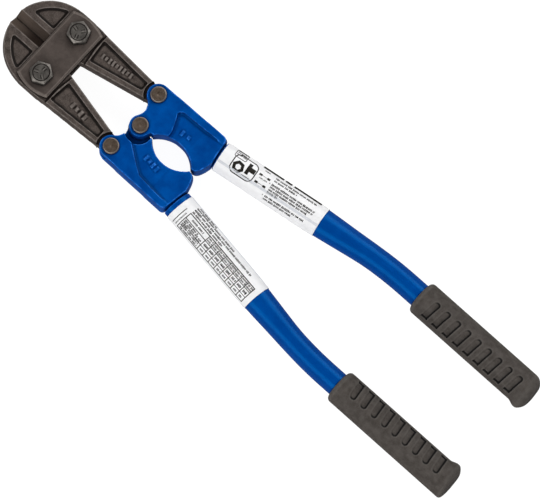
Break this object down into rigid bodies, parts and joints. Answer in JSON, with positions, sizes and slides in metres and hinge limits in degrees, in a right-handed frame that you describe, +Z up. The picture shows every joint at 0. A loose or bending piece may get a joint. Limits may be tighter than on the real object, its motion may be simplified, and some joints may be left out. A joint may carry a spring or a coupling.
{
  "type": "bolt cutters",
  "caption": "Compound lever cutter with hinged forged jaws, bolted head plates, linked handle brackets, tube handles and rubber grips.",
  "frame": {"origin": "centre of the footprint, on the surface that the tool lies on", "axes": "+X from the grips to the jaw tips, +Z up through the flat of the tool, +Y to the tool's left"},
  "size_m": [0.45, 0.111, 0.0351],
  "materials": {
    "jaw_steel": "dark phosphated forging, satin, fine grain",
    "plate_steel": "dark phosphated plate, satin",
    "bolt_steel": "oiled dark steel, brighter at the worn chamfers",
    "pin_steel": "browned steel, bright rim",
    "blue_paint": "glossy royal blue enamel with slight orange peel",
    "label_film": "white printed film",
    "grip_rubber": "matte moulded rubber"
  },
  "bodies": {
    "head": {"head_plate_top": "plate_steel", "head_plate_bottom": "plate_steel", "pivot_bolt_left": "bolt_steel", "pivot_bolt_right": "bolt_steel", "lock_washer_left": "bolt_steel", "lock_washer_right": "bolt_steel", "pivot_nut_left": "bolt_steel", "pivot_nut_right": "bolt_steel"},
    "jaw_lever_left": {"jaw_left": "jaw_steel"},
    "jaw_lever_right": {"jaw_right": "jaw_steel"},
    "handle_left": {"bracket_left": "blue_paint", "link_pin_left": "pin_steel", "pin_washer_left": "pin_steel", "pin_nut_left": "pin_steel", "handle_tube_left": "blue_paint", "label_left": "label_film", "grip_left": "grip_rubber"},
    "handle_right": {"bracket_right": "blue_paint", "link_pin_right": "pin_steel", "pin_washer_right": "pin_steel", "pin_nut_right": "pin_steel", "centre_pin": "pin_steel", "pin_washer_centre": "pin_steel", "pin_nut_centre": "pin_steel", "handle_tube_right": "blue_paint", "label_right": "label_film", "grip_right": "grip_rubber"}
  },
  "joints": [
    {"name": "right_jaw_swing", "type": "hinge", "parent": "head", "child": "jaw_lever_right", "pos_m": [0.183, -0.0195, 0.019], "axis": [0, 0, -1], "range_deg": [0, 8.84]},
    {"name": "left_jaw_swing", "type": "hinge", "parent": "head", "child": "jaw_lever_left", "pos_m": [0.183, 0.0195, 0.019], "axis": [0, 0, 1], "range_deg": [0, 8.84]},
    {"name": "right_handle_swing", "type": "hinge", "parent": "jaw_lever_right", "child": "handle_right", "pos_m": [0.11205, -0.02475, 0.019], "axis": [0, 0, 1], "range_deg": [0, 53.8]},
    {"name": "left_handle_swing", "type": "hinge", "parent": "jaw_lever_left", "child": "handle_left", "pos_m": [0.11205, 0.02475, 0.019], "axis": [0, 0, -1], "range_deg": [0, 53.84]}
  ],
  "couplings": [
    {"joint": "left_handle_swing", "follows": "right_handle_swing", "ratio": 1},
    {"joint": "right_jaw_swing", "follows": "right_handle_swing", "ratio": 0.16414},
    {"joint": "left_jaw_swing", "follows": "right_handle_swing", "ratio": 0.16414}
  ]
}
